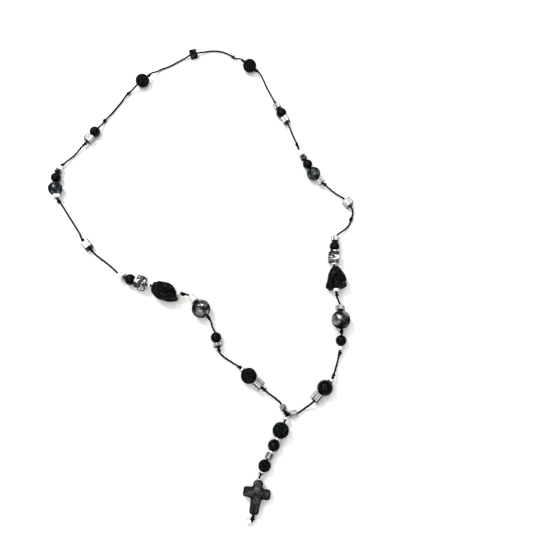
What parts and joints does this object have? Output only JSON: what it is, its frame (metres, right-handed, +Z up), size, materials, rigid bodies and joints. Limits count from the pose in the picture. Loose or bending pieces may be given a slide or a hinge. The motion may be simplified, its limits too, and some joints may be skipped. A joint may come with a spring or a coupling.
{
  "type": "rosary",
  "caption": "Rosary of stone, crystal and silver beads knotted on a waxed cord, with a beaded pendant and a stone cross, laid flat.",
  "frame": {"origin": "bottom centre of the bounding box of the rosary as it lies flat", "axes": "+Y along the laid rosary, from the cross towards the top of the loop; +Z up from the surface it lies on"},
  "size_m": [0.1718, 0.2772, 0.0096],
  "materials": {
    "cord": "waxed, matt",
    "lava": "matt, pitted",
    "onyx": "polished",
    "pearl": "mirror-bright, dark grey",
    "hematite": "metallic, dark grey",
    "silver": "striated silver",
    "quartz": "clear and milky with black needles",
    "tourmaline": "rough, ribbed",
    "charcoal_stone": "matt, veined"
  },
  "bodies": {
    "centre": {"cord_centre": "cord"},
    "onyx_right_4": {"onyx_right_4": "onyx"},
    "silver_cube_right_7": {"silver_cube_right_7": "silver"},
    "silver_cube_right_8": {"silver_cube_right_8": "silver"},
    "hematite_cube_left_1": {"hematite_cube_left_1": "hematite"},
    "silver_cube_left_1": {"silver_cube_left_1": "silver"},
    "lava_left_1": {"lava_left_1": "lava"},
    "lower_left": {"cord_lower_left": "cord"},
    "silver_cube_left_2": {"silver_cube_left_2": "silver"},
    "onyx_left_1": {"onyx_left_1": "onyx"},
    "pearl_left_1": {"pearl_left_1": "pearl"},
    "silver_cube_left_3": {"silver_cube_left_3": "silver"},
    "tourmaline_nugget_left": {"tourmaline_nugget_left": "tourmaline"},
    "quartz_cube_left": {"quartz_cube_left": "quartz"},
    "onyx_left_2": {"onyx_left_2": "onyx"},
    "silver_cube_left_4": {"silver_cube_left_4": "silver"},
    "left_middle": {"cord_left_middle": "cord"},
    "silver_cube_left_5": {"silver_cube_left_5": "silver"},
    "left_side": {"cord_left_side": "cord"},
    "silver_cube_left_6": {"silver_cube_left_6": "silver"},
    "hematite_left_1": {"hematite_left_1": "hematite"},
    "onyx_left_3": {"onyx_left_3": "onyx"},
    "hematite_left_2": {"hematite_left_2": "hematite"},
    "silver_cube_left_7": {"silver_cube_left_7": "silver"},
    "silver_cube_left_8": {"silver_cube_left_8": "silver"},
    "onyx_left_4": {"onyx_left_4": "onyx"},
    "top_left": {"cord_top_left": "cord"},
    "lava_left_2": {"lava_left_2": "lava"},
    "top_stub": {"cord_top_stub": "cord"},
    "top": {"cord_top": "cord"},
    "hematite_cube_top": {"hematite_cube_top": "hematite"},
    "lava_top": {"lava_top": "lava"},
    "silver_cube_right_1": {"silver_cube_right_1": "silver"},
    "onyx_right_1": {"onyx_right_1": "onyx"},
    "silver_cube_right_2": {"silver_cube_right_2": "silver"},
    "right_high": {"cord_right_high": "cord"},
    "silver_cube_right_3": {"silver_cube_right_3": "silver"},
    "hematite_right_1": {"hematite_right_1": "hematite"},
    "onyx_right_2": {"onyx_right_2": "onyx"},
    "hematite_right_2": {"hematite_right_2": "hematite"},
    "silver_cube_right_4": {"silver_cube_right_4": "silver"},
    "silver_cube_right_5": {"silver_cube_right_5": "silver"},
    "right_side": {"cord_right_side": "cord"},
    "silver_cube_right_6": {"silver_cube_right_6": "silver"},
    "onyx_right_5": {"onyx_right_5": "onyx"},
    "quartz_cube_right": {"quartz_cube_right": "quartz"},
    "tourmaline_drop_right": {"tourmaline_drop_right": "tourmaline"},
    "silver_cube_right_9": {"silver_cube_right_9": "silver"},
    "pearl_right_1": {"pearl_right_1": "pearl"},
    "onyx_right_3": {"onyx_right_3": "onyx"},
    "pendant_link": {"cord_pendant_link": "cord"},
    "silver_bead_pendant": {"silver_bead_pendant": "silver"},
    "pendant": {"cord_pendant": "cord"},
    "lava_pendant_1": {"lava_pendant_1": "lava"},
    "onyx_pendant": {"onyx_pendant": "onyx"},
    "hematite_drum_pendant": {"hematite_drum_pendant": "hematite"},
    "lava_pendant_2": {"lava_pendant_2": "lava"},
    "cross": {"cord_cross": "cord", "stone_cross": "charcoal_stone"},
    "silver_cube_pendant": {"silver_cube_pendant": "silver"}
  },
  "joints": [
    {"name": "loop_sway", "type": "hinge", "parent": "centre", "child": "right_side", "pos_m": [0.07237, -0.06397, 0.0008], "axis": [0, 0, 1], "range_deg": [-30, 30]},
    {"name": "loop_slant", "type": "hinge", "parent": "centre", "child": "lower_left", "pos_m": [0.02087, -0.06347, 0.0031], "axis": [0, 0, 1], "range_deg": [-30, 30]},
    {"name": "top_fold", "type": "hinge", "parent": "top_stub", "child": "top", "pos_m": [-0.01323, 0.13253, 0.0012], "axis": [0.747, -0.6648, -0.0034], "range_deg": [0, 90]},
    {"name": "pendant_swing", "type": "hinge", "parent": "centre", "child": "pendant_link", "pos_m": [0.04692, -0.08797, 0.0021], "axis": [0, 0, 1], "range_deg": [-35, 35]},
    {"name": "pendant_lift", "type": "hinge", "parent": "pendant_link", "child": "pendant", "pos_m": [0.04595, -0.09201, 0.00412], "axis": [-0.9455, 0.3256, 0], "range_deg": [0, 60]},
    {"name": "cross_swing", "type": "hinge", "parent": "pendant", "child": "cross", "pos_m": [0.03387, -0.11737, 0.0024], "axis": [0, 0, 1], "range_deg": [-40, 40]},
    {"name": "left_middle_turn", "type": "hinge", "parent": "lower_left", "child": "left_middle", "pos_m": [-0.04973, -0.00707, 0.0008], "axis": [0, 0, 1], "range_deg": [-30, 30]},
    {"name": "left_side_turn", "type": "hinge", "parent": "left_middle", "child": "left_side", "pos_m": [-0.06633, 0.01093, 0.0008], "axis": [0, 0, 1], "range_deg": [-30, 30]},
    {"name": "top_left_turn", "type": "hinge", "parent": "left_side", "child": "top_left", "pos_m": [-0.05593, 0.09043, 0.0008], "axis": [0, 0, 1], "range_deg": [-30, 30]},
    {"name": "top_stub_turn", "type": "hinge", "parent": "top_left", "child": "top_stub", "pos_m": [-0.01753, 0.12993, 0.0008], "axis": [0, 0, 1], "range_deg": [-30, 30]},
    {"name": "right_high_turn", "type": "hinge", "parent": "right_side", "child": "right_high", "pos_m": [0.08277, 0.01553, 0.0008], "axis": [0, 0, 1], "range_deg": [-30, 30]},
    {"name": "onyx_right_4_spin", "type": "hinge", "parent": "centre", "child": "onyx_right_4", "pos_m": [0.06597, -0.07577, 0.00404], "axis": [-0.656, -0.7547, 0.0071], "continuous": true},
    {"name": "silver_cube_right_7_spin", "type": "hinge", "parent": "centre", "child": "silver_cube_right_7", "pos_m": [0.06177, -0.0806, 0.00409], "axis": [-0.656, -0.7547, 0.0071], "continuous": true},
    {"name": "silver_cube_right_8_spin", "type": "hinge", "parent": "centre", "child": "silver_cube_right_8", "pos_m": [0.05017, -0.08807, 0.00195], "axis": [-0.9898, -0.1391, 0.0303], "continuous": true},
    {"name": "hematite_cube_left_1_spin", "type": "hinge", "parent": "centre", "child": "hematite_cube_left_1", "pos_m": [0.04517, -0.08507, 0.0019], "axis": [-0.4056, 0.911, -0.0739], "continuous": true},
    {"name": "silver_cube_left_1_spin", "type": "hinge", "parent": "centre", "child": "silver_cube_left_1", "pos_m": [0.03303, -0.07405, 0.00403], "axis": [-0.7431, 0.6691, 0.0054], "continuous": true},
    {"name": "lava_left_1_spin", "type": "hinge", "parent": "centre", "child": "lava_left_1", "pos_m": [0.02827, -0.06977, 0.00406], "axis": [-0.7431, 0.6691, 0.0054], "continuous": true},
    {"name": "silver_cube_left_2_spin", "type": "hinge", "parent": "lower_left", "child": "silver_cube_left_2", "pos_m": [0.01225, -0.0536, 0.00294], "axis": [-0.2419, 0.9703, 0.0095], "continuous": true},
    {"name": "onyx_left_1_spin", "type": "hinge", "parent": "lower_left", "child": "onyx_left_1", "pos_m": [0.01127, -0.04967, 0.00297], "axis": [-0.2419, 0.9703, 0.0095], "continuous": true},
    {"name": "pearl_left_1_spin", "type": "hinge", "parent": "lower_left", "child": "pearl_left_1", "pos_m": [0.00317, -0.03477, 0.00485], "axis": [-0.6428, 0.766, 0.006], "continuous": true},
    {"name": "silver_cube_left_3_spin", "type": "hinge", "parent": "lower_left", "child": "silver_cube_left_3", "pos_m": [-0.00139, -0.02933, 0.00489], "axis": [-0.6428, 0.766, 0.006], "continuous": true},
    {"name": "tourmaline_nugget_left_spin", "type": "hinge", "parent": "lower_left", "child": "tourmaline_nugget_left", "pos_m": [-0.01673, -0.02377, 0.0048], "axis": [-0.9659, 0.2588, 0], "continuous": true},
    {"name": "quartz_cube_left_spin", "type": "hinge", "parent": "lower_left", "child": "quartz_cube_left", "pos_m": [-0.02921, -0.02022, 0.00432], "axis": [-0.9356, 0.3405, -0.0931], "continuous": true},
    {"name": "onyx_left_2_spin", "type": "hinge", "parent": "lower_left", "child": "onyx_left_2", "pos_m": [-0.03513, -0.01807, 0.00373], "axis": [-0.9356, 0.3405, -0.0931], "continuous": true},
    {"name": "silver_cube_left_4_spin", "type": "hinge", "parent": "lower_left", "child": "silver_cube_left_4", "pos_m": [-0.03988, -0.01572, 0.0028], "axis": [-0.7859, 0.5503, -0.2822], "continuous": true},
    {"name": "silver_cube_left_5_spin", "type": "hinge", "parent": "left_middle", "child": "silver_cube_left_5", "pos_m": [-0.06053, 0.00253, 0.0025], "axis": [-0.6561, 0.7547, 0], "continuous": true},
    {"name": "silver_cube_left_6_spin", "type": "hinge", "parent": "left_side", "child": "silver_cube_left_6", "pos_m": [-0.08066, 0.03201, 0.00387], "axis": [-0.2588, 0.9658, 0.0146], "continuous": true},
    {"name": "hematite_left_1_spin", "type": "hinge", "parent": "left_side", "child": "hematite_left_1", "pos_m": [-0.08203, 0.03713, 0.00394], "axis": [-0.2588, 0.9658, 0.0146], "continuous": true},
    {"name": "onyx_left_3_spin", "type": "hinge", "parent": "left_side", "child": "onyx_left_3", "pos_m": [-0.08263, 0.04443, 0.00348], "axis": [0.1039, 0.9884, -0.1104], "continuous": true},
    {"name": "hematite_left_2_spin", "type": "hinge", "parent": "left_side", "child": "hematite_left_2", "pos_m": [-0.0822, 0.04856, 0.00302], "axis": [0.1039, 0.9884, -0.1104], "continuous": true},
    {"name": "silver_cube_left_7_spin", "type": "hinge", "parent": "left_side", "child": "silver_cube_left_7", "pos_m": [-0.08193, 0.05104, 0.00274], "axis": [0.1039, 0.9884, -0.1104], "continuous": true},
    {"name": "silver_cube_left_8_spin", "type": "hinge", "parent": "left_side", "child": "silver_cube_left_8", "pos_m": [-0.0668, 0.07108, 0.00312], "axis": [0.5299, 0.848, 0.0092], "continuous": true},
    {"name": "onyx_left_4_spin", "type": "hinge", "parent": "left_side", "child": "onyx_left_4", "pos_m": [-0.06383, 0.07583, 0.00317], "axis": [0.5299, 0.848, 0.0092], "continuous": true},
    {"name": "lava_left_2_spin", "type": "hinge", "parent": "top_left", "child": "lava_left_2", "pos_m": [-0.03853, 0.11233, 0.00414], "axis": [0.682, 0.7313, 0.0092], "continuous": true},
    {"name": "hematite_cube_top_spin", "type": "hinge", "parent": "top", "child": "hematite_cube_top", "pos_m": [-0.00863, 0.13433, 0.0023], "axis": [0.9511, 0.309, 0], "continuous": true},
    {"name": "lava_top_spin", "type": "hinge", "parent": "top", "child": "lava_top", "pos_m": [0.02667, 0.12373, 0.00415], "axis": [0.7313, -0.682, 0.0074], "continuous": true},
    {"name": "silver_cube_right_1_spin", "type": "hinge", "parent": "top", "child": "silver_cube_right_1", "pos_m": [0.04369, 0.0938, 0.0031], "axis": [0.4384, -0.8988, 0], "continuous": true},
    {"name": "onyx_right_1_spin", "type": "hinge", "parent": "top", "child": "onyx_right_1", "pos_m": [0.04597, 0.08913, 0.0031], "axis": [0.4384, -0.8988, 0], "continuous": true},
    {"name": "silver_cube_right_2_spin", "type": "hinge", "parent": "top", "child": "silver_cube_right_2", "pos_m": [0.04838, 0.08419, 0.0031], "axis": [0.4384, -0.8988, 0], "continuous": true},
    {"name": "silver_cube_right_3_spin", "type": "hinge", "parent": "right_high", "child": "silver_cube_right_3", "pos_m": [0.05712, 0.06094, 0.00282], "axis": [0.4216, -0.9041, 0.0691], "continuous": true},
    {"name": "hematite_right_1_spin", "type": "hinge", "parent": "right_high", "child": "hematite_right_1", "pos_m": [0.05868, 0.05759, 0.00308], "axis": [0.4216, -0.9041, 0.0691], "continuous": true},
    {"name": "onyx_right_2_spin", "type": "hinge", "parent": "right_high", "child": "onyx_right_2", "pos_m": [0.06067, 0.05333, 0.00341], "axis": [0.4216, -0.9041, 0.0691], "continuous": true},
    {"name": "hematite_right_2_spin", "type": "hinge", "parent": "right_high", "child": "hematite_right_2", "pos_m": [0.06387, 0.04683, 0.00395], "axis": [0.5446, -0.8386, 0.013], "continuous": true},
    {"name": "silver_cube_right_4_spin", "type": "hinge", "parent": "right_high", "child": "silver_cube_right_4", "pos_m": [0.06762, 0.04213, 0.00362], "axis": [0.7376, -0.6641, -0.1219], "continuous": true},
    {"name": "silver_cube_right_5_spin", "type": "hinge", "parent": "right_high", "child": "silver_cube_right_5", "pos_m": [0.08267, 0.02873, 0.0024], "axis": [0.5878, -0.809, 0], "continuous": true},
    {"name": "silver_cube_right_6_spin", "type": "hinge", "parent": "right_side", "child": "silver_cube_right_6", "pos_m": [0.07444, 0.00586, 0.00332], "axis": [-0.1045, -0.9944, 0.0134], "continuous": true},
    {"name": "onyx_right_5_spin", "type": "hinge", "parent": "right_side", "child": "onyx_right_5", "pos_m": [0.07397, 0.00143, 0.00338], "axis": [-0.1045, -0.9944, 0.0134], "continuous": true},
    {"name": "quartz_cube_right_spin", "type": "hinge", "parent": "right_side", "child": "quartz_cube_right", "pos_m": [0.07334, -0.00459, 0.00346], "axis": [-0.1045, -0.9944, 0.0134], "continuous": true},
    {"name": "tourmaline_drop_right_spin", "type": "hinge", "parent": "right_side", "child": "tourmaline_drop_right", "pos_m": [0.07347, -0.01677, 0.00415], "axis": [0.0349, -0.9986, 0.0408], "continuous": true},
    {"name": "silver_cube_right_9_spin", "type": "hinge", "parent": "right_side", "child": "silver_cube_right_9", "pos_m": [0.07526, -0.03427, 0.00485], "axis": [0.0175, -0.9998, -0.0033], "continuous": true},
    {"name": "pearl_right_1_spin", "type": "hinge", "parent": "right_side", "child": "pearl_right_1", "pos_m": [0.07537, -0.04067, 0.00483], "axis": [0.0175, -0.9998, -0.0033], "continuous": true},
    {"name": "onyx_right_3_spin", "type": "hinge", "parent": "right_side", "child": "onyx_right_3", "pos_m": [0.07507, -0.05147, 0.00377], "axis": [-0.1184, -0.9644, -0.2365], "continuous": true},
    {"name": "silver_bead_pendant_spin", "type": "hinge", "parent": "pendant_link", "child": "silver_bead_pendant", "pos_m": [0.04624, -0.09077, 0.00399], "axis": [-0.2405, -0.9646, 0.1084], "continuous": true},
    {"name": "lava_pendant_1_spin", "type": "hinge", "parent": "pendant", "child": "lava_pendant_1", "pos_m": [0.04392, -0.09632, 0.00405], "axis": [-0.4299, -0.9013, -0.0537], "continuous": true},
    {"name": "onyx_pendant_spin", "type": "hinge", "parent": "pendant", "child": "onyx_pendant", "pos_m": [0.04058, -0.10332, 0.00364], "axis": [-0.4299, -0.9013, -0.0537], "continuous": true},
    {"name": "hematite_drum_pendant_spin", "type": "hinge", "parent": "pendant", "child": "hematite_drum_pendant", "pos_m": [0.03828, -0.10814, 0.00335], "axis": [-0.4299, -0.9013, -0.0537], "continuous": true},
    {"name": "lava_pendant_2_spin", "type": "hinge", "parent": "pendant", "child": "lava_pendant_2", "pos_m": [0.03617, -0.11257, 0.00309], "axis": [-0.4299, -0.9013, -0.0537], "continuous": true},
    {"name": "silver_cube_pendant_spin", "type": "hinge", "parent": "cross", "child": "silver_cube_pendant", "pos_m": [0.02887, -0.13717, 0.00168], "axis": [-0.9764, -0.2075, -0.0599], "continuous": true}
  ],
  "couplings": [
    {"joint": "left_middle_turn", "follows": "loop_slant", "ratio": -1},
    {"joint": "left_side_turn", "follows": "loop_sway", "ratio": 1},
    {"joint": "top_left_turn", "follows": "loop_sway", "ratio": -1},
    {"joint": "top_stub_turn", "follows": "loop_slant", "ratio": 1},
    {"joint": "right_high_turn", "follows": "loop_sway", "ratio": -1}
  ]
}
